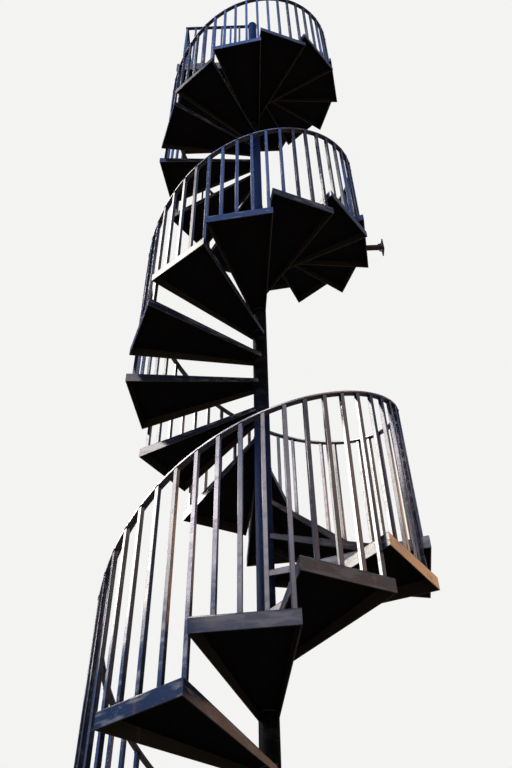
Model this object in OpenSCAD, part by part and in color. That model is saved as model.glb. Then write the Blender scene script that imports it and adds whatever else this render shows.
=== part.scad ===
// Outdoor spiral staircase of painted steel, rising counter-clockwise as seen
// from above. Steel pan treads are cut to fit a round centre pole and welded to
// it, and a flat helical handrail stands on square balusters, four to a tread. A
// landing closes the flight at the top. The origin is on the ground, under the
// middle of the pole; +X points to the side wall and +Y to the back wall.

/* [Stair] */
// Distance from the pole's axis to the outer corners of a tread
stair_radius = 762; // [650:1:1000]
// Height from one tread's top to the next
riser = 217.5; // [190:0.5:240]
// Angle from one tread's nose to the next
tread_pitch = 29.83; // [26:0.01:32]
// Number of treads below the landing
tread_count = 43; // [30:1:44]
// Angle of the last riser, where the landing begins, from +X
landing_nose_angle = 64.72; // [60:0.01:70]

/* [Treads] */
// Angle left open between one tread's back edge and the next tread's nose
tread_gap_angle = 0.2; // [0.1:0.05:1]
// Thickness of a tread's top plate
tread_plate = 5; // [3:0.5:10]
// Thickness of a tread's turned-down edges
tread_edge = 5; // [3:0.5:8]
// Depth of the turned-down edge at the outer end
tread_depth_rim = 67; // [50:1:80]
// Depth of the turned-down edge at the pole
tread_depth_hub = 36; // [25:1:60]
// How far a tread's nose and back edge meet the pole inside its side
edge_set_in = 4; // [2:0.5:12]

/* [Pole] */
// Outer diameter of the centre pole
pole_d = 85; // [70:1:110]
// Wall of the centre pole
pole_wall = 6; // [4:0.5:10]
// Height of the pole above the landing guard's top
pole_rise = 25; // [10:1:80]
// Height of the cap on the pole
cap_h = 22; // [15:1:40]
// How far the cap reaches past the pole's side
cap_lip = 5; // [3:0.5:12]

/* [Balusters] */
// Width of a square baluster
baluster_w = 19; // [14:0.5:28]
// How far a baluster's middle stands inside the treads' outer corners
baluster_inset = 42; // [37:1:80]
// Place of a tread's first baluster, as a share of the pitch behind the nose
baluster_lead = 0.2; // [0.15:0.01:0.24]
// Balusters on each tread
balusters_per_tread = 4; // [3:1:4]

/* [Handrail] */
// Width of the flat handrail bar
rail_w = 30; // [24:1:45]
// Thickness of the flat handrail bar
rail_t = 12; // [8:0.5:20]
// Height of the handrail's top above the line of the noses
rail_height = 827; // [700:1:1000]
// How far the handrail's lower end reaches past the first baluster
rail_overhang = 45; // [20:1:100]

/* [Landing] */
// Distance from the treads' outer corners to the back wall
back_wall_gap = 53; // [20:1:300]
// How far the landing's open side lies inside the treads' outer corners
landing_side_inset = 27; // [0:1:60]
// How far the landing's front edge lies past the pole's side
landing_front_gap = 17.5; // [14:0.5:30]
// Thickness of the landing's deck plate
landing_plate = 6; // [4:0.5:12]
// Depth of the landing's edge beams
landing_depth = 150; // [100:1:200]
// Thickness of the landing's edge beams
landing_beam = 8; // [5:0.5:12]
// Height of the landing guard's top
guard_height = 1067; // [950:1:1150]
// Distance from the landing's edge to the edge of the guard's rail
guard_inset = 30; // [20:1:35]
// Distance between the landing's two wall anchors
landing_anchor_span = 500; // [300:10:600]
// Diameter of a wall anchor hole in the landing
landing_anchor_d = 14; // [10:0.5:20]

/* [Base plate] */
// Side of the square base plate
base_w = 260; // [240:5:400]
// Thickness of the base plate
base_t = 12; // [8:1:25]
// Distance between the base plate's anchor holes
base_anchor_span = 200; // [150:5:205]
// Diameter of an anchor hole in the base plate
base_anchor_d = 16; // [12:0.5:22]

/* [Wall bracket] */
// Whole turns from the landing down to the tread that carries the bracket
bracket_turns_down = 1; // [0:1:2]
// Distance from the treads' outer corners to the side wall
side_wall_gap = 88; // [60:1:300]
// How far the bracket stands to the +Y side of the pole's axis
bracket_y = -49; // [-80:1:-20]
// Width of the bracket's square bar
bracket_bar = 28; // [16:1:40]
// Width of the bracket's wall plate
bracket_plate_w = 60; // [40:1:80]
// Height of the bracket's wall plate
bracket_plate_h = 120; // [110:1:160]
// Thickness of the bracket's wall plate
bracket_plate_t = 8; // [5:0.5:12]
// Distance between the wall plate's two anchor holes
bracket_anchor_span = 80; // [70:1:90]
// Diameter of an anchor hole in the wall plate
bracket_anchor_d = 11; // [8:0.5:14]

/* [Hidden] */
// Gap between two pieces that are welded or clamped together
seat_gap = 0.3;
// Treads that one length of handrail runs along
treads_per_length = 12;
// Straight steps that the handrail takes along one tread
rail_steps = 8;
// How far a solid reaches past another that it is cut from or joined to
past = 1;

rail_lengths = ceil(tread_count / treads_per_length);
tread_wedge = tread_pitch - tread_gap_angle;
// Round cut that fits a tread, the landing or a guard to the pole
cut_r = pole_d / 2 + seat_gap;
// A tread's nose and back edge run from its outer corners to just inside the
// pole's sides, and end at the pole
edge_foot = pole_d / 2 - edge_set_in;
// Angle between such an edge's normal and the direction of its outer corner
edge_swing = acos(edge_foot / stair_radius);
rim_distance = stair_radius * cos(tread_wedge / 2);

baluster_radius = stair_radius - baluster_inset;
rail_outer_r = baluster_radius + baluster_w / 2;
rail_inner_r = rail_outer_r - rail_w;
rail_mid_r = (rail_outer_r + rail_inner_r) / 2;
rail_slope = riser / (baluster_radius * tread_pitch * PI / 180);

landing_level = tread_count + 1;
landing_z = landing_level * riser;
landing_back = stair_radius + back_wall_gap;
landing_side = stair_radius - landing_side_inset;
landing_front = pole_d / 2 + landing_front_gap;
guard_top = landing_z + guard_height;
pole_top = guard_top + pole_rise;

// Level, counted in treads, of the first and last post of the handrail
first_post_level = 1 - (1 - baluster_lead) % (1 / balusters_per_tread);
guard_post_level = landing_level + baluster_lead;
guard_post_x = rail_mid_r * cos(nose_angle(guard_post_level));
guard_post_y = rail_mid_r * sin(nose_angle(guard_post_level));
landing_right = guard_post_x + rail_w / 2;
landing_middle = (landing_right - landing_side) / 2;
baluster_spacing = baluster_radius * tread_pitch * PI / 180 / balusters_per_tread;

// Levels of the handrail's two ends
rail_levels_per_mm = 180 / (PI * rail_mid_r) / tread_pitch;
rail_start = first_post_level - rail_overhang * rail_levels_per_mm;
rail_end = guard_post_level - (rail_w / 2 + seat_gap) * rail_levels_per_mm;

// Middle lines of the guards along the landing's front and open side
guard_front_y = -landing_front + guard_inset + rail_w / 2;
guard_side_x = -landing_side + guard_inset + rail_w / 2;

// The bracket is welded to the tread whose rim it meets
bracket_angle = asin(bracket_y / stair_radius) - 360 * bracket_turns_down;
bracket_tread = floor(landing_level + (bracket_angle - landing_nose_angle) / tread_pitch);
bracket_z = bracket_tread * riser - tread_depth_rim / 2;

function two_digits(n) = n < 10 ? str("0", n) : str(n);
function tread_name(n) = str("tread_", two_digits(n));
function handrail_name(n) = str("handrail_turn_", n);
function balusters_name(n) = str("balusters_turn_", n);

paint = "#2b2c2e";
rust_paint = "#4a3c33";
$fn = 64;

// Angle of the nose line at a level, which need not be a whole tread
function nose_angle(level) = landing_nose_angle + (level - landing_level) * tread_pitch;

// Where two straight lines cross, each given by its normal's angle and distance
function crossing(a, b) = [
    (a[1] * sin(b[0]) - b[1] * sin(a[0])) / sin(b[0] - a[0]),
    (b[1] * cos(a[0]) - a[1] * cos(b[0])) / sin(b[0] - a[0])
];

// The same line, moved inwards
function moved_in(line, by) = [line[0], line[1] - by];

// Line through two points, with its normal to the right of the way from a to b
function line_through(a, b) =
    let (angle = atan2(a[0] - b[0], b[1] - a[1]))
    [angle, a[0] * cos(angle) + a[1] * sin(angle)];

function foot(line) = [line[1] * cos(line[0]), line[1] * sin(line[0])];

// Plan of a tread with its nose along +X, drawn in by a distance all round
function tread_plan(by) =
    let (
        nose = moved_in([-edge_swing, edge_foot], by),
        rim = moved_in([tread_wedge / 2, rim_distance], by),
        back = moved_in([tread_wedge + edge_swing, edge_foot], by)
    )
    [foot(nose), crossing(nose, rim), crossing(rim, back), foot(back)];

// Steel pan: a plate with turned-down edges that get shallower towards the pole
module tread_pan() {
    slope = (tread_depth_rim - tread_depth_hub) / (rim_distance - cut_r);
    inner_depth = tread_depth_hub - slope * 2 * cut_r;
    intersection() {
        translate([0, 0, -tread_depth_rim])
            linear_extrude(tread_depth_rim)
                polygon(tread_plan(0));
        rotate([0, 0, tread_wedge / 2])
            rotate([90, 0, 0])
                linear_extrude(2 * stair_radius, center = true)
                    polygon([
                        [-cut_r, 0],
                        [rim_distance + past, 0],
                        [rim_distance + past, -tread_depth_rim - slope * past],
                        [-cut_r, -inner_depth]
                    ]);
    }
}

module tread(n) {
    color(paint)
        translate([0, 0, n * riser])
            rotate([0, 0, nose_angle(n)])
                difference() {
                    tread_pan();
                    translate([0, 0, -tread_depth_rim - past])
                        linear_extrude(tread_depth_rim + past - tread_plate)
                            polygon(tread_plan(tread_edge));
                    translate([0, 0, -tread_depth_rim - past])
                        cylinder(h = tread_depth_rim + 2 * past, r = cut_r);
                }
}

// Upright square bar whose top is cut to the handrail's slope
module baluster(height) {
    rise = rail_slope * baluster_w / 2;
    translate([-baluster_w / 2, 0, 0])
        rotate([90, 0, 90])
            linear_extrude(baluster_w)
                polygon([
                    [-baluster_w / 2, 0],
                    [baluster_w / 2, 0],
                    [baluster_w / 2, height + rise],
                    [-baluster_w / 2, height - rise]
                ]);
}

// Baluster that stands at a level, on a floor below the handrail
module standing_baluster(level, floor_z) {
    rotate([0, 0, nose_angle(level)])
        translate([baluster_radius, 0, floor_z])
            baluster(level * riser + rail_height - rail_t - seat_gap - floor_z);
}

module balusters_turn(n) {
    first = (n - 1) * treads_per_length + 1;
    last = min(n * treads_per_length, tread_count);
    color(paint) {
        if (n == 1)
            standing_baluster(first_post_level, 0);
        for (level = [first:last])
            for (k = [0:balusters_per_tread - 1])
                standing_baluster(level + baluster_lead + k / balusters_per_tread, level * riser);
    }
}

// Corners of the handrail's section at a level
function rail_ring(level) =
    let (angle = nose_angle(level), top = level * riser + rail_height)
    [for (corner = [
        [rail_inner_r, top - rail_t],
        [rail_outer_r, top - rail_t],
        [rail_outer_r, top],
        [rail_inner_r, top]
    ]) [corner[0] * cos(angle), corner[0] * sin(angle), corner[1]]];

// Flat bar carried along the helix from one level to another
module rail_sweep(from, to) {
    steps = ceil((to - from) * rail_steps - 0.001);
    rings = [for (k = [0:steps]) rail_ring(from + (to - from) * k / steps)];
    points = [for (ring = rings) for (corner = ring) corner];
    sides = [
        for (k = [0:steps - 1])
            for (j = [0:3])
                let (a = 4 * k + j, b = 4 * k + (j + 1) % 4)
                for (face = [[a, b, b + 4], [a, b + 4, a + 4]]) face
    ];
    polyhedron(points, concat([[3, 2, 1, 0]], sides, [[for (j = [0:3]) 4 * steps + j]]));
}

module handrail_turn(n) {
    from = n == 1 ? rail_start : (n - 1) * treads_per_length + 1;
    to = n == rail_lengths ? rail_end : n * treads_per_length + 1;
    color(paint)
        rail_sweep(from, to);
}

module base_plate() {
    color(paint)
        difference() {
            translate([-base_w / 2, -base_w / 2, 0])
                cube([base_w, base_w, base_t]);
            for (x = [-1, 1])
                for (y = [-1, 1])
                    translate([x * base_anchor_span / 2, y * base_anchor_span / 2, -past])
                        cylinder(h = base_t + 2 * past, d = base_anchor_d);
        }
}

module centre_pole() {
    color(paint)
        translate([0, 0, base_t])
            difference() {
                cylinder(h = pole_top - base_t, d = pole_d);
                translate([0, 0, -past])
                    cylinder(h = pole_top - base_t + 2 * past, d = pole_d - 2 * pole_wall);
            }
}

// Turned cap with a rounded shoulder
module pole_cap() {
    shoulder = cap_h / 2;
    cap_r = pole_d / 2 + cap_lip;
    color(paint)
        translate([0, 0, pole_top])
            rotate_extrude()
                union() {
                    square([cap_r, cap_h - shoulder]);
                    square([cap_r - shoulder, cap_h]);
                    intersection() {
                        translate([cap_r - shoulder, cap_h - shoulder])
                            circle(r = shoulder);
                        square([cap_r, cap_h]);
                    }
                }
}

// Plan of the landing, drawn in by a distance all round
function landing_plan(by) =
    let (
        nose_normal = nose_angle(landing_level) - edge_swing,
        corner = [
            stair_radius * cos(nose_angle(landing_level)),
            stair_radius * sin(nose_angle(landing_level))
        ],
        back_right = [landing_right, landing_back],
        back_left = [-landing_side, landing_back],
        front_left = [-landing_side, -landing_front],
        front = [0, -landing_front],
        edges = [for (line = [
            [nose_normal, edge_foot],
            line_through(corner, back_right),
            line_through(back_right, back_left),
            line_through(back_left, front_left),
            line_through(front_left, front)
        ]) moved_in(line, by)]
    )
    concat(
        [foot(edges[0])],
        [for (k = [1:4]) crossing(edges[k - 1], edges[k])],
        [foot(edges[4])]
    );

module top_landing() {
    color(rust_paint)
        translate([0, 0, landing_z - landing_depth])
            difference() {
                linear_extrude(landing_depth)
                    polygon(landing_plan(0));
                translate([0, 0, -past])
                    linear_extrude(landing_depth + past - landing_plate)
                        polygon(landing_plan(landing_beam));
                translate([0, 0, -past])
                    cylinder(h = landing_depth + 2 * past, r = cut_r);
                for (side = [-1, 1])
                    translate([
                        landing_middle + side * landing_anchor_span / 2,
                        landing_back + past,
                        landing_depth / 2
                    ])
                        rotate([90, 0, 0])
                            cylinder(h = landing_beam + 2 * past, d = landing_anchor_d);
            }
}

// Straight guard along +X from the origin, its balusters fused to its rail
module guard_panel(length, first, last) {
    gaps = max(1, round((last - first) / baluster_spacing));
    translate([0, -rail_w / 2, guard_height - rail_t])
        cube([length, rail_w, rail_t]);
    for (k = [0:gaps])
        translate([first + (last - first) * k / gaps - baluster_w / 2, -baluster_w / 2, 0])
            cube([baluster_w, baluster_w, guard_height - rail_t / 2]);
}

// The front guard's rail is cut round to fit the pole
module landing_guard_front() {
    length = -guard_side_x + rail_w / 2;
    color(paint)
        translate([0, 0, landing_z])
            difference() {
                translate([-length, guard_front_y, 0])
                    guard_panel(length, rail_w / 2, length - pole_d / 2 - baluster_spacing);
                cylinder(h = guard_height + past, r = cut_r);
            }
}

module landing_guard_side() {
    start_y = guard_front_y + rail_w / 2;
    length = landing_back - start_y;
    color(paint)
        translate([guard_side_x, start_y, landing_z])
            rotate([0, 0, 90])
                guard_panel(length, baluster_spacing - rail_w / 2, length - rail_w / 2);
}

// Post that ends the handrail, with a short guard from it to the back wall
module landing_guard_return() {
    length = landing_back - guard_post_y;
    color(paint)
        translate([guard_post_x, guard_post_y, landing_z]) {
            rotate([0, 0, nose_angle(guard_post_level)])
                translate([-rail_w / 2, -rail_w / 2, 0])
                    cube([rail_w, rail_w, guard_height - rail_t / 2]);
            rotate([0, 0, 90])
                guard_panel(length, length / 2, length - rail_w / 2);
        }
}

// Square bar from a tread's rim to the side wall, with an anchored wall plate
module wall_bracket() {
    rim_angle = nose_angle(bracket_tread) + tread_wedge / 2;
    low_y = bracket_y - bracket_bar / 2;
    high_y = bracket_y + bracket_bar / 2;
    rim = [rim_angle, rim_distance];
    plate_x = stair_radius + side_wall_gap - bracket_plate_t;
    color(paint)
        translate([0, 0, bracket_z])
            difference() {
                union() {
                    translate([0, 0, -bracket_bar / 2])
                        linear_extrude(bracket_bar)
                            polygon([
                                crossing(rim, [-90, -low_y]),
                                [plate_x + past, low_y],
                                [plate_x + past, high_y],
                                crossing(rim, [90, high_y])
                            ]);
                    translate([plate_x, bracket_y - bracket_plate_w / 2, -bracket_plate_h / 2])
                        cube([bracket_plate_t, bracket_plate_w, bracket_plate_h]);
                }
                for (z = [-1, 1])
                    translate([plate_x - past, bracket_y, z * bracket_anchor_span / 2])
                        rotate([0, 90, 0])
                            cylinder(h = bracket_plate_t + 2 * past, d = bracket_anchor_d);
            }
}

base_plate();
centre_pole();
pole_cap();
for (n = [1:tread_count])
    tread(n);
for (n = [1:rail_lengths])
    balusters_turn(n);
for (n = [1:rail_lengths])
    handrail_turn(n);
top_landing();
landing_guard_front();
landing_guard_side();
landing_guard_return();
wall_bracket();
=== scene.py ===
"""Tall outdoor spiral staircase of painted steel, finished piece by piece around its fixed frame.

The stair rises counter-clockwise round a pole that stands on the origin. Lengths are in metres and
angles in radians. A level counts risers from the foot, and need not be a whole number: the nose of
tread 5 is at level 5, and the middle of its edge at about level 5.5.
"""

import math

import bmesh
import bpy
import numpy as np
from mathutils import Matrix, Vector


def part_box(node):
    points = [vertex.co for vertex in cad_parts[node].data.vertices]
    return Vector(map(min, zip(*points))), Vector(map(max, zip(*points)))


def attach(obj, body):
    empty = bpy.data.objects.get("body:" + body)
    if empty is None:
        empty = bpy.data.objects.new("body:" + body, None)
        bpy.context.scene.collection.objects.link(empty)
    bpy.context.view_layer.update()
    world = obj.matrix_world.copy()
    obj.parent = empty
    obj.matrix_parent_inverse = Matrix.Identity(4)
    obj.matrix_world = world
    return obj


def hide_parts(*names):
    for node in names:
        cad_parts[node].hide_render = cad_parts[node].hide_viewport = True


bl_info = {
    "name": "Spiral Staircase",
    "version": (1, 0, 0),
    "blender": (4, 5, 0),
    "location": "3D View > Sidebar > Staircase",
    "description": "Builds the treads, balusters, handrail, landing and finish of a spiral staircase",
    "category": "Add Mesh",
}

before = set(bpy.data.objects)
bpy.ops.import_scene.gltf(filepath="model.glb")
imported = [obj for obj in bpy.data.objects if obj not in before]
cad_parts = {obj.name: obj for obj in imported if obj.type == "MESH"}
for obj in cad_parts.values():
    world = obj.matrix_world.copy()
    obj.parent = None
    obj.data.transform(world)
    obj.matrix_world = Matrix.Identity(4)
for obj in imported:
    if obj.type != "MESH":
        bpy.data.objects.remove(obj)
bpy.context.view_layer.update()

BODY = "root"
FULL_TURN = 2 * math.pi
QUARTER = math.pi / 2
UP = np.array([0.0, 0.0, 1.0])
MERGE = 1e-6  # points this near each other become one
TOUCH = 1e-4  # a corner this near a plane or a circle lies on it
SUNK = 0.001  # how far a hidden end or a weld is kept within what carries it
ROUND = 96  # steps round the pole and the floor
DRAWN_IN = np.array([1, 0, 0, 1])  # which of a block's four rings its chamfer draws in
TUBE_THICKNESS = 0.006
TREAD_LIP, DECK_LIP = 0.0012, 0.0015  # rounding of the edges' lower ends
DECK_INNER_BEND = 0.001
RAIL_CHAMFER = 0.0008
RAIL_ARRIS = 1.4  # a rail's arris, as a share of a bar's

# Welds: the bulge, the ripples, their scatter and the sunk root are shares of the leg. Then the legs
# under rails, at the deck, the base and the bracket, as shares of the leg at a bar's foot
BULGE, RIPPLE, SCATTER, ROOT = 0.62, 0.16, 0.1, 0.25
RIPPLE_PITCH = 0.0085
TOP_WELD, DECK_WELD, BASE_WELD, TIE_WELD = 0.8, 1.3, 1.8, 1.2
ARC_STEP = 0.06  # angle between the points of a weld round the pole
WELD_STOP = 0.002  # how far over an edge's lower end its weld to the pole stops
WELD_WEAR, BOLT_WEAR = 0.35, 0.3

# Studs: diameter and length, then the thread, the washer and the chamfers of tips and nuts, and the
# radius of a washer, of a nut, of its chamfered face and a nut's height as shares of the diameter
BASE_STUD, DECK_STUD, TIE_STUD = (0.016, 0.034), (0.012, 0.03), (0.01, 0.024)
THREAD_PITCH, THREAD_DEPTH, WASHER, TIP = 0.0022, 0.0011, 0.0026, 0.0015
WASHER_REACH, NUT_REACH, FACE_REACH, NUT_HEIGHT = 1.1, 0.92, 0.8, 0.8

# Places in a piece's list of materials: bars and plates, then pans
BAR_WELD, BAR_BOLT = 1, 2
SKIN, UNDER, PAN_WELD, LUGS = range(4)
TREAD_INNER, DECK_BOLT, DECK_INNER = 4, 4, 5
BAR_COATS = ("baluster_paint", "weld_paint")
PAN_COATS = ("shaded_underside_paint", "weld_paint", "lug_plate")  # after the paint of its skin

# The landing's guards, and the axis that each one's rail runs along
GUARDS = {"landing_guard_front": 0, "landing_guard_side": 1, "landing_guard_return": 1}


# Angles and lines in plan


def plan_angle(points):
    return np.arctan2(points[..., 1], points[..., 0])


def plan_radius(points):
    return np.hypot(points[..., 0], points[..., 1])


def outward(angle):
    """Unit vectors in plan at some angles, with their x, y and z along the last axis."""
    return np.stack([np.cos(angle), np.sin(angle), 0 * angle], axis=-1)


def turned(angle, middle):
    """The same direction, written as an angle within half a turn of another."""
    return middle + (angle - middle + math.pi) % FULL_TURN - math.pi


def sweep(path):
    """Angles of a path's first and last point, the last written as the greater one."""
    start, stop = plan_angle(path[0]), plan_angle(path[-1])
    return start, start + (stop - start) % FULL_TURN


def in_plan(centres, turns, x, y, z):
    """Points x, y, z of shapes that stand on centres in plan, each turned by its angle."""
    cos, sin = np.cos(turns)[:, None], np.sin(turns)[:, None]
    east = centres[:, :1] + cos * x - sin * y
    north = centres[:, 1:] + sin * x + cos * y
    return np.stack([east, north, np.broadcast_to(z, east.shape)], axis=2)


def line_of(normal_angle, distance):
    """Straight line in plan, by its outward normal and its distance from the pole's axis."""
    return np.array([math.cos(normal_angle), math.sin(normal_angle), distance])


def line_through(a, b):
    """Line through two points, with its normal to the right of the way from a to b."""
    way = np.subtract(b, a) / np.linalg.norm(np.subtract(b, a))
    return np.array([way[1], -way[0], way[1] * a[0] - way[0] * a[1]])


def crossing(a, b):
    return np.linalg.solve([a[:2], b[:2]], [a[2], b[2]])


# Measures taken from the frame


def corners(node):
    """All vertices of a node of the frame, as rows of x, y and z."""
    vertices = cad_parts[node].data.vertices
    flat = np.empty(3 * len(vertices))
    vertices.foreach_get("co", flat)
    return flat.reshape(-1, 3)


def nodes_named(start):
    return sorted(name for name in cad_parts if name.startswith(start))


def on_plane(points, axis, value):
    """The points that lie on the plane where an axis has a value."""
    return points[np.abs(points[:, axis] - value) < TOUCH]


def foot_corners(node, floor_z):
    """Different corners of a node that stand on a floor at a height."""
    return np.unique(np.round(on_plane(corners(node), 2, floor_z)[:, :2], 5), axis=0)


def squares(points, order):
    """Centre, side and turn of each square bar, from its four corners side by side in an order."""
    fours = points[np.argsort(order)].reshape(-1, 4, 2)
    centres = fours.mean(axis=1)
    arms = fours - centres[:, None]
    sides = plan_radius(arms).mean(axis=1) * math.sqrt(2)
    return centres, sides, plan_angle(arms[:, 0]) - math.pi / 4


class Measures:
    """Sizes and places of the stair, read from the frame once."""

    def __init__(self):
        self.tread_names = nodes_named("tread_")
        first, second = (corners(name) for name in self.tread_names[:2])
        self.riser = second[:, 2].max() - first[:, 2].max()
        self.stair_radius = plan_radius(first).max()
        rims = [self.rim_angles(name) for name in self.tread_names]
        self.noses = np.unwrap([low for low, _ in rims])
        self.wedge = rims[0][1] - rims[0][0]
        self.pitch = (self.noses[-1] - self.noses[0]) / (len(rims) - 1)
        self.depth_rim = np.ptp(self.rim(first)[:, 2])
        self.pole_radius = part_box("centre_pole")[1].x
        self.edge_foot = self.nose_line_foot(first)
        self.edge_swing = math.acos(self.edge_foot / self.stair_radius)
        self.landing_level = len(rims) + 1
        self.landing_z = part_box("top_landing")[1].z
        self.measure_rail()

    def rim(self, points):
        return points[plan_radius(points) > self.stair_radius - TOUCH]

    def rim_angles(self, name):
        """Angles of a tread's two outer corners, the nose first."""
        rim = self.rim(corners(name))
        angles = turned(plan_angle(rim), plan_angle(rim.mean(axis=0)))
        return angles.min(), angles.max()

    def nose_line_foot(self, points):
        """Distance from the pole's axis to the line of a tread's nose, which passes it."""
        top = on_plane(points, 2, points[:, 2].max())
        ends = top[plan_radius(top) < plan_radius(top).min() + TOUCH]
        middle = self.noses[0] + self.wedge / 2
        near = ends[np.argmin(turned(plan_angle(ends), middle)), :2]
        return abs(line_through(near, self.stair_radius * outward(self.noses[0])[:2])[2])

    def measure_rail(self):
        """Section of the handrail, its height over the nose line, and the levels of its joints."""
        self.rail_names = nodes_named("handrail_turn_")
        second = corners(self.rail_names[1])
        low, high = second[:, 2].min(), second[:, 2].max()
        inner, outer = plan_radius(second).min(), plan_radius(second).max()
        self.rail_inner = inner
        self.rail_width = outer - inner
        self.rail_radius = (inner + outer) / 2
        self.treads_each = round((high - low) / self.riser)
        self.rail_height = high - (2 * self.treads_each + 1) * self.riser
        self.rail_thickness = (self.treads_each + 1) * self.riser + self.rail_height - low
        tops = [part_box(name)[0].z + self.rail_thickness for name in self.rail_names]
        tops.append(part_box(self.rail_names[-1])[1].z)
        self.rail_levels = [(z - self.rail_height) / self.riser for z in tops]

    def nose_angle(self, level):
        return self.noses[0] + (level - 1) * self.pitch


stair = Measures()


# Sizes and colours that a user would change


def length_property(name, description, default, low, high):
    return bpy.props.FloatProperty(
        name=name, description=description, default=default, min=low, max=high, unit="LENGTH")


def colour_property(name, description, default):
    return bpy.props.FloatVectorProperty(
        name=name, description=description, default=default, size=3, min=0, max=1, subtype="COLOR")


def angle_property(name, description, degrees):
    return bpy.props.FloatProperty(
        name=name, description=description, default=math.radians(degrees), subtype="ANGLE")


class StairSizes(bpy.types.PropertyGroup):
    """Sizes of the finish: bends, plates, arrises, welds and tread lugs."""

    bend: length_property("Bend", "Outer radius of a tread's bent edges", 0.007, 0.005, 0.015)
    tread_plate: length_property("Tread Plate", "Thickness of a tread's plate", 0.005, 0.003, 0.01)
    depth_hub: length_property(
        "Depth at the Pole", "Depth of a tread's bent edge at the pole", 0.036, 0.02, 0.06)
    landing_plate: length_property(
        "Deck Plate", "Thickness of the landing's deck", 0.006, 0.004, 0.012)
    landing_beam: length_property(
        "Edge Beam", "Thickness of the landing's edge beams", 0.008, 0.005, 0.012)
    arris: length_property("Arris", "Radius of the rounded edges of bars", 0.0018, 0.0005, 0.004)
    weld: length_property("Weld", "Leg of a fillet weld", 0.0038, 0.002, 0.008)
    lug_length: length_property(
        "Lug Length", "Length of a raised lug of the tread pattern", 0.024, 0.01, 0.04)
    lug_pitch: length_property("Lug Pitch", "Distance between neighbouring lugs", 0.0285, 0.02, 0.05)
    lug_height: length_property("Lug Height", "Height of a raised lug", 0.0013, 0.0005, 0.003)


class StairPaint(bpy.types.PropertyGroup):
    """Colours of the paint, and of what has settled on it or shows through it."""

    # The black leans blue, which paints part of the sky's reflection on the outer faces
    paint: colour_property("Paint", "Black paint of every outer face", (0.0095, 0.0125, 0.023))
    # Painted reflection of the sky: the blue of the soft bands up the pole
    pole: colour_property(
        "Pole Blue", "Blue that shows in soft bands up the pole's dull paint", (0.012, 0.032, 0.115))
    chalk: colour_property("Chalked Paint", "Paint where weather has dulled it", (0.02, 0.026, 0.045))
    # Painted shade: a darker, duller copy of the black, for the pans' undersides and the pole
    underside: colour_property(
        "Underside", "Flat black inside the pans and of the pole", (0.0022, 0.0021, 0.0023))
    # Painted reflected light: the brown on the bent edges' inner faces; the tie bracket is given it too
    inner: colour_property(
        "Inner Faces", "Brownish black on the inner faces of the bent edges", (0.02, 0.014, 0.009))
    dust: colour_property("Dust", "Dust on what faces up", (0.115, 0.105, 0.095))
    rust: colour_property("Rust", "Rust in chips and at welds", (0.15, 0.058, 0.024))
    # On what faces down this brown paints the reflection of the ground; on the landing it is the coat's
    # colour
    brown: colour_property(
        "Brown Film", "Brown film below the handrail and on the landing", (0.07, 0.04, 0.025))
    # Also a painted highlight: the bright lines on the bars' arrises and along the handrail's outer
    # face
    steel: colour_property("Worn Steel", "Steel that feet and hands have worn bare", (0.3, 0.29, 0.28))
    zinc: colour_property("Zinc", "Zinc coat of bolts, nuts and washers", (0.42, 0.43, 0.44))


# Shapes as whole arrays


class Shape:
    """Points and faces of a piece, gathered as arrays until they become a mesh."""

    def __init__(self):
        self.points, self.wear, self.faces = [], [], []
        self.total = 0

    def add(self, points, faces, wear=0.0, material=0, smooth=True):
        """Adds points (any shape that ends in x, y, z) and faces that count them in order.

        Wear is 1 on an arris and 0 on a flat, one number or one for each point. Smooth shades the
        faces round, and is off for flats.
        """
        points = np.asarray(points, float).reshape(-1, 3)
        self.points.append(points)
        self.wear.append(np.broadcast_to(np.asarray(wear, float).reshape(-1), len(points)))
        self.total += len(points)
        self.more(faces, len(points), material, smooth)

    def more(self, faces, back, material=0, smooth=False):
        """Adds faces on points that are there already, counted from `back` points before the end."""
        self.faces.append((np.asarray(faces) + self.total - back, material, smooth))

    def mesh(self, name):
        """Mesh of the shape, with doubled points merged and its faces turned outwards."""
        loops = np.concatenate([faces.ravel() for faces, _, _ in self.faces])
        looks = [(faces.shape[1], material, smooth) for faces, material, smooth in self.faces]
        counts = [len(faces) for faces, _, _ in self.faces]
        sizes, materials, smooth = np.repeat(looks, counts, axis=0).T
        made = bpy.data.meshes.new(name)
        made.vertices.add(self.total)
        made.vertices.foreach_set("co", np.concatenate(self.points).ravel())
        made.loops.add(len(loops))
        made.loops.foreach_set("vertex_index", loops.astype(np.int32))
        made.polygons.add(len(sizes))
        made.polygons.foreach_set("loop_start", (np.cumsum(sizes) - sizes).astype(np.int32))
        made.polygons.foreach_set("material_index", materials.astype(np.int32))
        made.polygons.foreach_set("use_smooth", smooth.astype(bool))
        wear = made.attributes.new("wear", "FLOAT", "POINT")
        wear.data.foreach_set("value", np.concatenate(self.wear))
        made.update(calc_edges=True)
        work = bmesh.new()
        work.from_mesh(made)
        bmesh.ops.remove_doubles(work, verts=work.verts, dist=MERGE)
        bmesh.ops.recalc_face_normals(work, faces=work.faces)
        work.to_mesh(made)
        work.free()
        return made


def placed(mesh, materials):
    """Object of a finished mesh at the origin, under the mesh's name, with its materials."""
    piece = bpy.data.objects.new(mesh.name, mesh)
    bpy.context.scene.collection.objects.link(piece)
    for material in materials:
        mesh.materials.append(material)
    return piece


def stand_in(mesh, coat_names, node):
    """Places a mesh in the stair's finishes. It rides on the stair in place of a node of the frame."""
    coats = finishes()
    piece = placed(mesh, [coats[name] for name in coat_names])
    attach(piece, BODY)
    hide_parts(node)


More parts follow.
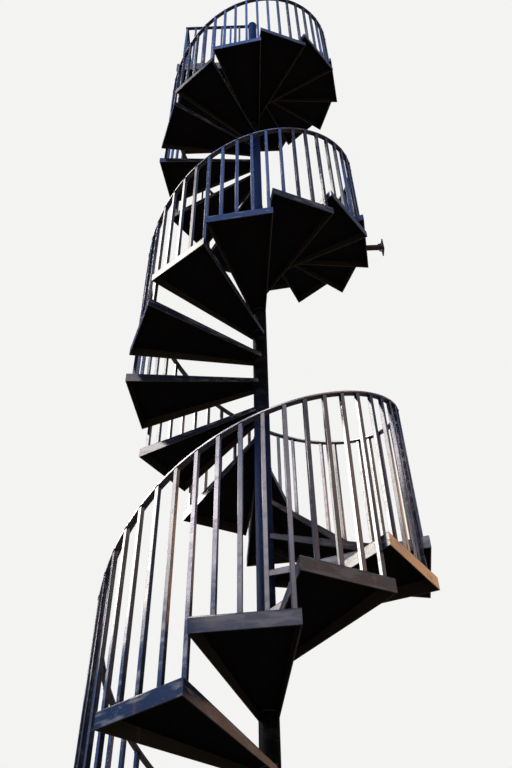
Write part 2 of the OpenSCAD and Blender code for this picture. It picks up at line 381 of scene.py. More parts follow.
def grid_faces(rows, columns, wrap_rows=False, wrap_columns=False):
    """Quads between neighbouring points of a grid that is counted row by row."""
    row = np.arange(rows if wrap_rows else rows - 1)
    column = np.arange(columns if wrap_columns else columns - 1)
    r, c = (side.ravel() for side in np.meshgrid(row, column, indexing="ij"))
    next_r, next_c = (r + 1) % rows, (c + 1) % columns
    return np.stack([r * columns + c, r * columns + next_c,
                     next_r * columns + next_c, next_r * columns + c], axis=1)


def repeated(faces, count, size):
    """The faces of one body, repeated for a count of bodies that each have a size of points."""
    return (faces + (np.arange(count) * size)[:, None, None]).reshape(-1, faces.shape[1])


def rounded_rectangle(width, height, radius, steps=2):
    """Section of a bar: the points of its outline, their wear, and which of its sides are flat.

    Each corner is its centre plus the radius in directions that turn by a quarter, so the points
    run counter-clockwise. Wear is 1 in the middle of a corner and 0 at its ends. The flat sides
    are those that follow a corner's arc.
    """
    share = np.linspace(0, 1, steps + 1)
    angle = np.arange(4)[:, None] * QUARTER + share * QUARTER
    sign_x, sign_y = np.array([[1, -1, -1, 1], [1, 1, -1, -1]])[..., None]
    x = sign_x * (width / 2 - radius) + radius * np.cos(angle)
    y = sign_y * (height / 2 - radius) + radius * np.sin(angle)
    wear = np.tile(1 - np.abs(2 * share - 1), 4)
    flat = np.arange(len(wear)) % (steps + 1) == steps
    return np.stack([x.ravel(), y.ravel()], axis=1), wear, flat


def add_bars(shape, section, places, side, up, material=0):
    """Adds bars: a section carried along paths, with closed ends.

    Places is bars x rings x 3, side and up give the section's two directions at each ring, and the
    surface is place + x * side + y * up for each point (x, y) of the section.
    """
    profile, wear, flat = section
    bars, rings = places.shape[:2]
    count = len(profile)
    size = rings * count
    x, y = profile.T[..., None]
    points = places[:, :, None] + x * side[:, :, None] + y * up[:, :, None]
    quads = grid_faces(rings, count, wrap_columns=True)
    flat = np.tile(flat, rings - 1)
    ends = np.array([np.arange(count)[::-1], size - count + np.arange(count)])
    shape.add(points, repeated(quads[~flat], bars, size), np.tile(wear, bars * rings), material)
    shape.more(repeated(quads[flat], bars, size), bars * size, material)
    shape.more(repeated(ends, bars, size), bars * size, material)


def upright_bars(shape, centres, sides, turns, low, high, slope, radius):
    """Adds upright square bars, each cut off at a slope along its second direction.

    A bar's ring at a share t of its height is a rounded square at low + t * (high - low), and the
    top ring is tipped by the slope. The lowest and highest rings are drawn in by a small chamfer.
    """
    chamfer = radius / 2
    levels = np.array([0, 0, 1, 1])
    z = low[:, None] + levels * (high - low)[:, None] + chamfer * np.array([0, 1, -1, 0])
    width = sides[:, None] - 2 * chamfer * DRAWN_IN
    cos, sin = np.cos(turns)[:, None], np.sin(turns)[:, None]
    side = np.stack([cos * width, sin * width, 0 * width], axis=2)
    up = np.stack([-sin * width, cos * width, levels * slope * width], axis=2)
    places = np.stack(np.broadcast_arrays(centres[:, :1], centres[:, 1:], z), axis=2)
    add_bars(shape, rounded_rectangle(1, 1, radius / sides[0]), places, side, up)


def add_block(shape, low, high, radius, chamfer, axes=(0, 1, 2), steps=4):
    """Adds a block between two corners: a rounded rectangle carried along the last of three axes.

    The rectangle lies along the other two, and its first and last rings are drawn in by a chamfer.
    """
    across, upward, along = axes
    low, high = np.array(low, float), np.array(high, float)
    size = high - low
    places = np.tile((low + high) / 2, (1, 4, 1))
    places[0, :, along] = (low[along], low[along] + chamfer, high[along] - chamfer, high[along])
    side, up = np.zeros((2, 1, 4, 3))
    side[0, :, across] = size[across] - 2 * chamfer * DRAWN_IN
    up[0, :, upward] = size[upward] - 2 * chamfer * DRAWN_IN
    section = rounded_rectangle(1, 1, radius / max(size[across], size[upward]), steps)
    add_bars(shape, section, places, side, up)


def lathe(shape, profile, centres, axis="Z", segments=ROUND, wear=0.0, material=0, smooth=True):
    """Adds closed bodies of revolution: each point (radius, height) of a profile turned about an axis.

    The profile starts and ends on the axis, or else closes on itself.
    """
    profile = np.asarray(profile, float)
    closed = profile[0, 0] > 0 or profile[-1, 0] > 0
    angle = np.arange(segments) * FULL_TURN / segments
    radius, height = profile.T[..., None]
    turned_round = np.broadcast_arrays(radius * np.cos(angle), radius * np.sin(angle), height)
    order = {"X": (2, 0, 1), "Y": (1, 2, 0), "Z": (0, 1, 2)}[axis]
    ring = np.stack([turned_round[k] for k in order], axis=2).reshape(-1, 3)
    centres = np.atleast_2d(centres)
    faces = grid_faces(len(profile), segments, wrap_rows=closed, wrap_columns=True)
    shape.add(centres[:, None] + ring, repeated(faces, len(centres), len(ring)), wear, material, smooth)


def beads(shape, loops, normals, leg, floor_up, closed, seed, material=BAR_WELD):
    """Adds fillet welds along paths: a three-cornered bead with a bulged, rippled face.

    At each point of a path the bead's corners are the root, a leg along the floor's outward
    direction, the bulge at a share of both legs, and an upright leg. The legs are scaled by 1 + the
    ripple's share * sin(phase) + a random scatter, and the phase runs along the path.
    """
    count, length = loops.shape[:2]
    rng = np.random.default_rng(seed)
    step = np.linalg.norm(np.diff(loops, axis=1), axis=2)
    along = np.concatenate([np.zeros((count, 1)), np.cumsum(step, axis=1)], axis=1)
    phase = along * (FULL_TURN / RIPPLE_PITCH) + rng.uniform(0, FULL_TURN, (count, 1))
    size = leg * (1 + RIPPLE * np.sin(phase) + rng.uniform(-SCATTER, SCATTER, (count, length)))
    size = size[..., None]
    up = np.broadcast_to(floor_up, loops.shape)
    sink = ROOT * leg
    root = loops - normals * sink - up * sink
    floor_leg = loops + normals * size - up * sink
    bulge = loops + BULGE * size * (normals + up)
    high_leg = loops + up * size - normals * sink
    points = np.stack([root, floor_leg, bulge, high_leg], axis=2)
    quads = grid_faces(length, 4, wrap_rows=closed, wrap_columns=True)
    shape.add(points, repeated(quads, count, length * 4), WELD_WEAR, material)
    if not closed:
        last = (length - 1) * 4
        ends = np.array([[3, 2, 1, 0], [last, last + 1, last + 2, last + 3]])
        shape.more(repeated(ends, count, length * 4), count * length * 4, material)


def square_outline(points_each):
    """Points x and y round a square of side 1, and the angle that each one faces.

    Each side is cut into equal steps. The angle leans from one side's normal towards the next near
    the corners, by six times the cube of the place along the side, which rounds a weld.
    """
    share = (np.arange(points_each) + 0.5) / points_each - 0.5
    half = np.full(points_each, 0.5)
    x = np.concatenate([half, -share, -half, share])
    y = np.concatenate([share, half, -share, -half])
    return x, y, np.repeat(np.arange(4) * QUARTER, points_each) + np.tile(share, 4) ** 3 * 6


def bar_welds(shape, centres, sides, turns, z, slope, leg, up, seed):
    """Adds the welds round square bars at a height: loops that are tipped by a slope."""
    x, y, angle = square_outline(5)
    x, y = x * sides[:, None], y * sides[:, None]
    loops = in_plan(centres, turns, x, y, z[:, None] + slope * y)
    beads(shape, loops, outward(angle + turns[:, None]), leg, up, True, seed)


# Folded pans, which make the treads and the landing


def pan_path(lines, inset, hub):
    """Corners of an outline drawn in by an inset, from a circle about the pole out and back to it.

    The lines run counter-clockwise. The first and last end where they cross the circle, at the
    line's foot plus or minus the square root of hub squared less the distance squared.
    """
    moved = np.array(lines) - (0, 0, inset)
    ends = []
    for line, sign in ((moved[0], 1), (moved[-1], -1)):
        way = np.array([-line[1], line[0]])
        ends.append(line[:2] * line[2] + sign * way * math.sqrt(hub ** 2 - line[2] ** 2))
    middle = [crossing(a, b) for a, b in zip(moved, moved[1:])]
    return np.array([ends[0], *middle, ends[1]])


def pan_rings(bend, edge, plate_thickness, lip, steps=4):
    """Section of a folded edge, and its wear, its outer gaps and its rounded gaps.

    The section's rows are inset, height, and 1 where the height hangs from the lower edge. It goes
    from the top plate round the bend, a quarter circle, down the outer face, round the lip, up the
    inner face and round the inner bend to the plate's underside. A gap lies between two rows.
    """
    a = np.linspace(0, QUARTER, steps + 1)
    inner = bend - edge
    outer_bend = np.stack([bend - bend * np.sin(a), -bend + bend * np.cos(a), 0 * a], axis=1)
    lips = np.array([[0, lip, 1], [0.3 * lip, 0.3 * lip, 1], [lip, 0, 1],
                     [edge - lip, 0, 1], [edge - 0.3 * lip, 0.3 * lip, 1], [edge, lip, 1]])
    inner_bend = np.stack([bend - inner * np.sin(a[::-1]),
                           -plate_thickness - inner + inner * np.cos(a[::-1]), 0 * a], axis=1)
    rings = np.concatenate([outer_bend, lips, inner_bend])
    wear = np.concatenate([np.sin(2 * a), [0, 1, 0, 0, 1, 0], 0 * a])
    gaps = np.arange(len(rings) - 1)
    outer = gaps < steps + 3
    worn = (rings[:-1, 2] == rings[1:, 2]) & (wear[:-1] + wear[1:] > 0)
    return rings, wear, outer, worn | (gaps >= len(gaps) - steps)


def add_pan(shape, lines, section, low_edge, arc_steps, inner):
    """Adds a plate with turned-down edges, closed all round, from the pole outwards.

    Each ring of the section is the outline drawn in by its inset. The ring's height is its own, or
    counts from the lower edge, which is a function of the place in plan. The top and the underside
    are flat, and an arc just inside the pole's side closes the end. The section is the bend, the
    edge's and the plate's thickness and the lip, and inner is the material of the inner faces.
    """
    plate_thickness = section[2]
    hub = stair.pole_radius - SUNK
    rings, wear, outer, rounded = pan_rings(*section)
    paths = np.array([pan_path(lines, ring[0], hub) for ring in rings])
    z = rings[:, 1][:, None] + rings[:, 2][:, None] * low_edge(paths)
    points = np.concatenate([paths, z[..., None]], axis=2)
    count, along = points.shape[:2]
    faces = grid_faces(count, along)
    outer, rounded = np.repeat(outer, along - 1), np.repeat(rounded, along - 1)
    back = count * along
    shape.add(points, faces[outer & rounded], np.repeat(wear, along), SKIN)
    shape.more(faces[outer & ~rounded], back, SKIN)
    shape.more(faces[~outer & rounded], back, inner, smooth=True)
    shape.more(faces[~outer & ~rounded], back, inner)
    starts = np.arange(count) * along
    shape.more(np.array([starts, (starts + along - 1)[::-1]]), back, UNDER)

    def two_heights(plan):
        return [np.column_stack([plan, np.full(len(plan), z)]) for z in (0.0, -plate_thickness)]

    start, stop = sweep(paths[0])
    arc = hub * outward(np.linspace(stop, start, arc_steps + 1))[:, :2]
    top, bottom = two_heights(np.concatenate([paths[0], arc[1:-1]]))
    order = np.arange(len(top))
    shape.add(top, order[None], 0.0, LUGS, smooth=False)
    shape.add(bottom, order[None, ::-1], 0.0, UNDER, smooth=False)
    shape.add(two_heights(arc), grid_faces(2, len(arc)), 0.0, UNDER, smooth=False)


def add_pole_welds(shape, lines, section, depth, leg):
    """Adds the welds of a pan to the pole: arcs over and under its plate, and down its two edges.

    An arc follows the pole's side between the places where the outline, or the inner faces of the
    edges, cross it. The welds of the edges are upright, in the corners inside the pan.
    """
    _, edge, plate_thickness, _ = section
    radius = stair.pole_radius
    for z, way, inset in ((0.0, 1, 0.0), (-plate_thickness, -1, edge)):
        start, stop = sweep(pan_path(lines, inset, radius))
        steps = max(24, int((stop - start) / ARC_STEP))
        normal = outward(np.linspace(start, stop, steps))[None]
        beads(shape, radius * normal + z * UP, normal, leg, way * UP, False, 11 + way, PAN_WELD)
    ends = pan_path(lines, edge, radius)[[0, -1]]
    for end, line, sign in zip(ends, (lines[0], lines[-1]), (1, -1)):
        z = np.linspace(-plate_thickness, WELD_STOP - depth, 9)
        loop = np.column_stack([np.tile(end, (len(z), 1)), z])[None]
        along = np.broadcast_to(sign * np.array([-line[1], line[0], 0.0]), loop.shape)
        round_pole = sign * np.array([-end[1], end[0], 0.0]) / radius
        beads(shape, loop, along, leg, round_pole, False, 17 + sign, PAN_WELD)


def add_lugs(shape, lines, keep_off, low, high, sizes):
    """Adds the raised lugs of patterned floor plate, in rows that turn by a right angle in turn.

    Lug (i, j) stands at i and j times the pitch, and leans 45 degrees one way where i + j is even
    and the other way where it is odd. A lug is a long six-cornered foot with a ridge of two points.
    Lugs near the edges, the pole or a baluster's foot are left out.
    """
    pitch, length, height = sizes.lug_pitch, sizes.lug_length, sizes.lug_height
    i, j = (np.arange(math.floor(low[k] / pitch), math.ceil(high[k] / pitch) + 1) for k in (0, 1))
    i, j = (side.ravel() for side in np.meshgrid(i, j, indexing="ij"))
    centres = np.stack([i, j], axis=1) * pitch
    lean = np.where((i + j) % 2 == 0, 1, -1) * math.pi / 4
    bounds = np.array(lines)
    edge_gap, pole_gap, foot_gap = 0.55 * length, 0.8 * length, 0.75 * length
    keep = np.all(centres @ bounds[:, :2].T < bounds[:, 2] - edge_gap, axis=1)
    keep &= plan_radius(centres) > stair.pole_radius + pole_gap
    keep &= np.linalg.norm(centres[:, None] - keep_off[None], axis=2).min(axis=1) > foot_gap
    centres, lean = centres[keep], lean[keep]
    half, wide, ridge, sunk = length / 2, length * 0.13, length * 0.22, -0.25 * height
    x, y, z = np.array([
        [half, 0, sunk], [ridge, wide, sunk], [-ridge, wide, sunk],
        [-half, 0, sunk], [-ridge, -wide, sunk], [ridge, -wide, sunk],
        [ridge, 0, height], [-ridge, 0, height]]).T
    wear = np.tile([0, 0, 0, 0, 0, 0, 1, 1], len(centres))
    quads = np.array([[1, 2, 7, 6], [4, 5, 6, 7]])
    triangles = np.array([[0, 1, 6], [5, 0, 6], [2, 3, 7], [3, 4, 7]])
    foot = np.array([[5, 4, 3, 2, 1, 0]])
    many, back = len(centres), len(centres) * 8
    shape.add(in_plan(centres, lean, x, y, z), repeated(quads, many, 8), wear, LUGS)
    shape.more(repeated(triangles, many, 8), back, LUGS, smooth=True)
    shape.more(repeated(foot, many, 8), back, LUGS)


# Shader expressions


class Wire:
    """A socket that can be written in sums. Each operator adds its Math node to the tree."""

    def __init__(self, tree, socket=None):
        self.tree = tree
        self.socket = socket

    def node(self, kind, settings=None, sockets=None, output=0):
        """Adds a node: its settings first, then values or wires by socket name or number."""
        made = self.tree.nodes.new(kind)
        for name, value in (settings or {}).items():
            setattr(made, name, value)
        for key, value in (sockets or {}).items():
            if isinstance(value, Wire):
                self.tree.links.new(value.socket, made.inputs[key])
            else:
                made.inputs[key].default_value = value
        return Wire(self.tree, made.outputs[output] if made.outputs else None)

    def maths(self, operation, *values):
        return self.node("ShaderNodeMath", {"operation": operation}, dict(enumerate(values)))

    def vector_maths(self, operation, *values, output=0):
        return self.node("ShaderNodeVectorMath", {"operation": operation},
                         dict(enumerate(values)), output)

    def __add__(self, other):
        return self.maths("ADD", self, other)

    __radd__ = __add__

    def __sub__(self, other):
        return self.maths("SUBTRACT", self, other)

    def __rsub__(self, other):
        return self.maths("SUBTRACT", other, self)

    def __mul__(self, other):
        return self.maths("MULTIPLY", self, other)

    __rmul__ = __mul__

    def between(self, low, high):
        """0 up to low, 1 from high, and a smooth step between them."""
        return self.node("ShaderNodeMapRange", {"interpolation_type": "SMOOTHSTEP"},
                         {"Value": self, "From Min": low, "From Max": high})

    def mixes(self, first, second):
        """The first colour where this mask is 0, turning into the second where it is 1."""
        ends = [end if isinstance(end, Wire) else (*end, 1.0) for end in (first, second)]
        return self.node("ShaderNodeMix", {"data_type": "RGBA"}, {0: self, 6: ends[0], 7: ends[1]}, 2)

    def tint(self, other, mask):
        """This colour, mixed towards another by a mask."""
        return mask.mixes(self, other)

    def shows(self, first, second):
        """The first shader where this mask is 0, and the second where it is 1."""
        return self.node("ShaderNodeMixShader", None, {0: self, 1: first, 2: second})

    def height(self):
        """The upright part of a vector."""
        return self.node("ShaderNodeSeparateXYZ", None, {0: self}, "Z")

    def towards(self, way):
        """How far a vector points along a way."""
        return self.vector_maths("DOT_PRODUCT", self, way, output="Value")

    def noise(self, scale, detail=2.0, roughness=0.5):
        return self.node("ShaderNodeTexNoise", {"noise_dimensions": "3D"},
                         {"Vector": self, "Scale": scale, "Detail": detail, "Roughness": roughness})

    def stretched_noise(self, by, detail, roughness):
        """Noise whose grains are scaled differently along x, y and z."""
        return self.vector_maths("MULTIPLY", self, by).noise(1.0, detail, roughness)

    def bump(self, distance, **below):
        """Normals of a skin with this height, over other normals where they are given."""
        return self.node("ShaderNodeBump", None, {"Distance": distance, "Height": self, **below})

    def wear(self):
        """The wear that is stored on a piece."""
        return self.node("ShaderNodeAttribute", {"attribute_name": "wear"}, output="Fac")

    def ray(self, kind):
        """1 for rays of a kind."""
        return self.node("ShaderNodeLightPath", output=f"Is {kind} Ray")

    def surface(self, sockets):
        """Ends a material in a Principled shader with these sockets."""
        self.node("ShaderNodeOutputMaterial", None, {
            "Surface": self.node("ShaderNodeBsdfPrincipled", None, sockets)})


def opened(holder, coordinates="Object"):
    """Empties the node tree of a material or a world: a wire to start from, and its coordinates."""
    holder.use_nodes = True
    holder.node_tree.nodes.clear()
    start = Wire(holder.node_tree)
    return start, start.node("ShaderNodeTexCoord", output=coordinates)


def seen_rays(start):
    """1 for rays that show the backdrop: from the camera, in a reflection or through a clear piece."""
    shown = start.maths("MAXIMUM", start.ray("Camera"), start.ray("Glossy"))
    return start.maths("MAXIMUM", shown, start.ray("Transmission"))


def painted(made, coat, gloss, dust=0.5, rust=0.3, brown=0.0, chalk=1.0, bare=0.1, blue=0.0,
            lumps=0.0, shine=0.5):
    """Paint on steel, in layers, from the coat itself to what lies on it.

    The layers are chalky patches; soft bands of blue up the pole, a painted reflection of the sky;
    brown on what faces down, laid as a film, which paints the reflection of the brown ground; dust
    on what faces up and in rain streaks; scuffs; arrises worn to bare steel, which also paint
    bright highlight lines on the bars and along the handrail's outer face; rusty drips; rusty
    chips; and pale slanting streaks that paint streaks of reflected light. Each is a mask between
    0 and 1 made of noise, of how far a face looks up or down, of its height, and of the wear that
    is stored on the piece. The masks mix the colour and add to the roughness, and worn steel turns
    metallic.
    """
    finish = bpy.context.scene.stair_paint
    start, here = opened(made)
    up = start.node("ShaderNodeNewGeometry", output="Normal").height()
    wear = start.wear()
    upright = 1 - up * up

    cloud = here.noise(5.5, 4.0)
    patch = here.noise(23.0, 3.0, 0.6)
    streak = here.stretched_noise((52.0, 52.0, 3.0), 3.0, 0.55)
    speck = here.noise(170.0, 4.0, 0.62)
    grain = here.noise(620.0, 2.0)

    chalked = (cloud.between(0.42, 0.7) * 0.5 + streak.between(0.5, 0.78) * 0.5) * chalk
    base = chalked.mixes(coat, finish.chalk)
    level = here.height()
    # Painted reflection of the sky: soft blue bands up the pole, at set heights
    sky_wave = start.maths("SINE", level * 1.9 + 0.24)
    bands = (sky_wave + patch * 0.5).between(0.0, 1.3) * level.between(1.0, 8.0)
    base = base.tint(finish.pole, bands * blue)
    # Painted reflection of the ground: brown, laid as a film on what faces down
    ground_reflection = (0 - up).between(0.35, 0.95) * brown * (0.45 + patch * 0.9)
    base = base.tint(finish.brown, ground_reflection)
    washed = streak.between(0.62, 0.8) * (0.08 * dust)
    dusted = up.between(0.25, 0.95) * dust * (0.25 + patch * 1.1) + washed
    base = base.tint(finish.dust, dusted)
    scuffed = (patch * 0.5 + speck * 0.5 + wear * 0.22).between(0.58, 0.7)
    base = base.tint((0.22, 0.2, 0.19), scuffed * (0.25 * chalk))
    # Bare steel on worn arrises, which also paints metallic highlight lines on the bars and the rail's
    # outer face
    worn_bare_and_glint = (wear * 0.7 + patch * 0.5 + speck * 0.2 + 0.25 * bare).between(0.72, 0.95) * bare
    base = base.tint(finish.steel, worn_bare_and_glint)
    drip = here.stretched_noise((19.0, 19.0, 1.6), 4.0, 0.6).between(0.6, 0.74) * upright
    base = base.tint(finish.rust, drip * (0.45 * rust))
    chipped = (speck * 0.72 + patch * 0.28 + wear * 0.13 + cloud * 0.12).between(0.7, 0.735) * rust
    base = base.tint(finish.rust, chipped)
    # Painted reflection: pale slanting streaks of light on upright faces
    streak_slant = start.node("ShaderNodeMapping", None, {
        "Vector": here, "Location": (21.7, 3.5, 4.5), "Rotation": (0.0, 0.9, 0.6),
        "Scale": (9.0, 9.0, 34.0)})
    light_streaks = streak_slant.noise(1.0, 2.0).between(0.5, 0.66) * upright
    base = base.tint((0.18, 0.175, 0.19), light_streaks * (0.5 * chalk))
    rough = gloss + cloud * 0.05 + light_streaks * 0.14 + dusted * 0.35
    rough = rough + ground_reflection * 0.2 + scuffed * 0.12 + chipped * 0.4

    waves = here.noise(4.2, 1.0).bump(0.004)
    skin = grain * 0.22 + speck * 0.3 - chipped * 0.8
    start.surface({
        "Base Color": base, "Roughness": rough, "Metallic": worn_bare_and_glint * 0.9, "Specular IOR Level": shine,
        "Normal": skin.bump(0.00035 + lumps, Normal=waves)})


def lug_plate(made):
    """Painted floor plate: paint in hollows, dust between the lugs, bare steel on their crests."""
    finish = bpy.context.scene.stair_paint
    start, here = opened(made)
    wear = start.wear()
    cloud = here.noise(6.0, 4.0)
    patch = here.noise(31.0, 4.0, 0.6)
    speck = here.noise(240.0, 3.0, 0.6)
    dusted = (patch * 0.7 + cloud * 0.5).between(0.4, 0.8) * (0.75 - wear * 0.5)
    rusted = (speck * 0.5 + patch * 0.6).between(0.6, 0.7) * 0.6
    bared = (wear * 0.55 + speck * 0.35 + cloud * 0.3).between(0.62, 0.82)
    base = cloud.mixes(finish.paint, finish.chalk).tint(finish.dust, dusted)
    start.surface({
        "Base Color": base.tint(finish.rust, rusted).tint(finish.steel, bared),
        "Roughness": 0.5 + dusted * 0.3 + rusted * 0.2 - bared * 0.15,
        "Normal": (speck * 0.6 + patch * 0.4).bump(0.0003),
        "Metallic": bared * 0.8, "Specular IOR Level": 0.4})


def zinc_coat(made):
    """Dull zinc of bolts and washers, with grey blooms and a little rust."""
    finish = bpy.context.scene.stair_paint
    _, here = opened(made)
    bloom = here.noise(90.0, 4.0, 0.6)
    rusted = (bloom * 0.5 + here.noise(420.0, 3.0) * 0.6).between(0.62, 0.7) * 0.7
    base = bloom.between(0.35, 0.7).mixes(finish.zinc, (0.25, 0.25, 0.25))
    here.surface({
        "Base Color": base.tint(finish.rust, rusted), "Roughness": 0.42 + bloom * 0.2 + rusted * 0.3,
        "Metallic": 0.85 - rusted * 0.8})


def finishes():
    """The stair's finishes, made on the first call and found by name after that.

    Their names start with stair_, apart from the plain materials that come with the frame.
    """
    paint = bpy.context.scene.stair_paint
    # dull: the darker, duller black that paints the shade of the undersides and the pole
    outer, dull = dict(coat=paint.paint, gloss=0.08), dict(coat=paint.underside, chalk=0.02)
    looks = {
        "outer_paint": dict(outer, dust=0.35, rust=0.9, brown=0.25, chalk=0.6),
        "baluster_paint": dict(outer, dust=0.2, rust=0.5, chalk=0.14, bare=0.4, shine=1.0),
        "rail_paint": dict(outer, dust=0.2, rust=0.6, brown=0.35, chalk=0.25, bare=1.0, shine=1.0),
        # blue paints the sky's reflection in bands up the pole
        "pole_paint": dict(dull, gloss=0.5, dust=0.05, rust=0.2, chalk=0.08, blue=0.9, shine=0.02),
        "shaded_underside_paint": dict(dull, gloss=0.62, dust=0.0, rust=0.1, brown=0.03, shine=0.03),
        # inner_paint's brown paints reflected light on the bent edges' inner faces
        "inner_paint": dict(
            dull, coat=paint.inner, gloss=0.6, dust=0.0, rust=0.3, brown=0.1, shine=0.1),
        "weld_paint": dict(outer, gloss=0.36, rust=0.9, brown=0.3, chalk=0.6, lumps=0.0004),
        "landing_paint": dict(coat=paint.brown, gloss=0.42, rust=0.9, brown=0.6, chalk=0.6),
        "lug_plate": {},
        "zinc_coat": {},
    }
    makers = {"lug_plate": lug_plate, "zinc_coat": zinc_coat}
    found = {}
    for key, look in looks.items():
        name = f"stair_{key}"
        found[key] = bpy.data.materials.get(name)
        if found[key] is None:
            found[key] = bpy.data.materials.new(name)
            makers.get(key, painted)(found[key], **look)
    return found


# Operators, one for each group of like pieces


class STAIR_OT_treads(bpy.types.Operator):
    """Build the folded pan treads with their welds and raised lugs"""

    bl_idname = "stair.treads"
    bl_label = "Treads"

    def execute(self, context):
        template = self.template(context.scene.stair_sizes)
        coats = ("outer_paint", *PAN_COATS, "inner_paint")
        for k, name in enumerate(stair.tread_names):
            mesh = template.copy()
            mesh.name = f"pan_{name}"
            lift = Matrix.Translation((0, 0, (k + 1) * stair.riser))
            mesh.transform(lift @ Matrix.Rotation(stair.noses[k], 4, "Z"))
            stand_in(mesh, coats, name)
        bpy.data.meshes.remove(template)
        return {"FINISHED"}

    @staticmethod
    def template(sizes):
        """Tread with its nose along +X and its top at the origin's height."""
        shape = Shape()
        reach = stair.stair_radius
        rim_distance = reach * math.cos(stair.wedge / 2)
        lines = [line_of(-stair.edge_swing, stair.edge_foot), line_of(stair.wedge / 2, rim_distance),
                 line_of(stair.wedge + stair.edge_swing, stair.edge_foot)]
        slope = (stair.depth_rim - sizes.depth_hub) / (rim_distance - stair.pole_radius)
        middle = lines[1][:2]

        def low_edge(plan):
            return -sizes.depth_hub - slope * (plan @ middle - stair.pole_radius)

        section = (sizes.bend, sizes.tread_plate, sizes.tread_plate, TREAD_LIP)
        add_pan(shape, lines, section, low_edge, arc_steps=16, inner=TREAD_INNER)
        add_pole_welds(shape, lines, section, sizes.depth_hub, sizes.weld)
        angle = -stair.noses[0]
        turn = np.array([[math.cos(angle), math.sin(angle)], [-math.sin(angle), math.cos(angle)]])
        feet = tread_feet(1)[0] @ turn
        before_pole = line_of(stair.wedge / 2 + math.pi, 0)
        add_lugs(shape, [*lines, before_pole], feet, (0, -reach), (reach, reach), sizes)
        return shape.mesh("tread")


def tread_feet(level):
    """Centres, sides and turns of the balusters that stand on a tread, in order from the nose."""
    turn = (level - 1) // stair.treads_each + 1
    points = foot_corners(f"balusters_turn_{turn}", level * stair.riser)
    middle = stair.nose_angle(level) + stair.wedge / 2
    return squares(points, turned(plan_angle(points), middle))


class STAIR_OT_balusters(bpy.types.Operator):
    """Build the square balusters with rounded arrises, and the welds at their feet and tops"""

    bl_idname = "stair.balusters"
    bl_label = "Balusters"

    def execute(self, context):
        for k, name in enumerate(nodes_named("balusters_turn_")):
            first = k * stair.treads_each + 1
            last = min(first + stair.treads_each, stair.landing_level)
            found = [(*tread_feet(level), level) for level in range(first, last)]
            if k == 0:
                points = foot_corners(name, 0.0)
                found.append((*squares(points, points[:, 0]), 0))
            shape = Shape()
            self.add_turn(shape, found, context.scene.stair_sizes, seed=20 + k)
            stand_in(shape.mesh(f"bars_{name}"), BAR_COATS, name)
        return {"FINISHED"}

    @staticmethod
    def add_turn(shape, found, sizes, seed):
        """Adds the balusters of some levels. A bar's top lies on the helix below the handrail."""
        centres, widths = (np.concatenate([entry[part] for entry in found]) for part in (0, 1))
        levels = np.concatenate([np.full(len(entry[0]), entry[3]) for entry in found])
        floors = levels * stair.riser
        angles = plan_angle(centres)
        whole = np.maximum(levels, 1)
        nose = stair.nose_angle(whole)
        levels_at = whole + (turned(angles, nose) - nose) / stair.pitch
        slope = stair.riser / (plan_radius(centres).mean() * stair.pitch)
        tops = levels_at * stair.riser + stair.rail_height - stair.rail_thickness
        bars = (shape, centres, widths, angles)
        upright_bars(*bars, floors, tops, slope, sizes.arris)
        bar_welds(*bars, np.maximum(floors, SUNK), 0.0, sizes.weld, UP, seed)
        bar_welds(*bars, tops, slope, TOP_WELD * sizes.weld, -UP, seed + 50)


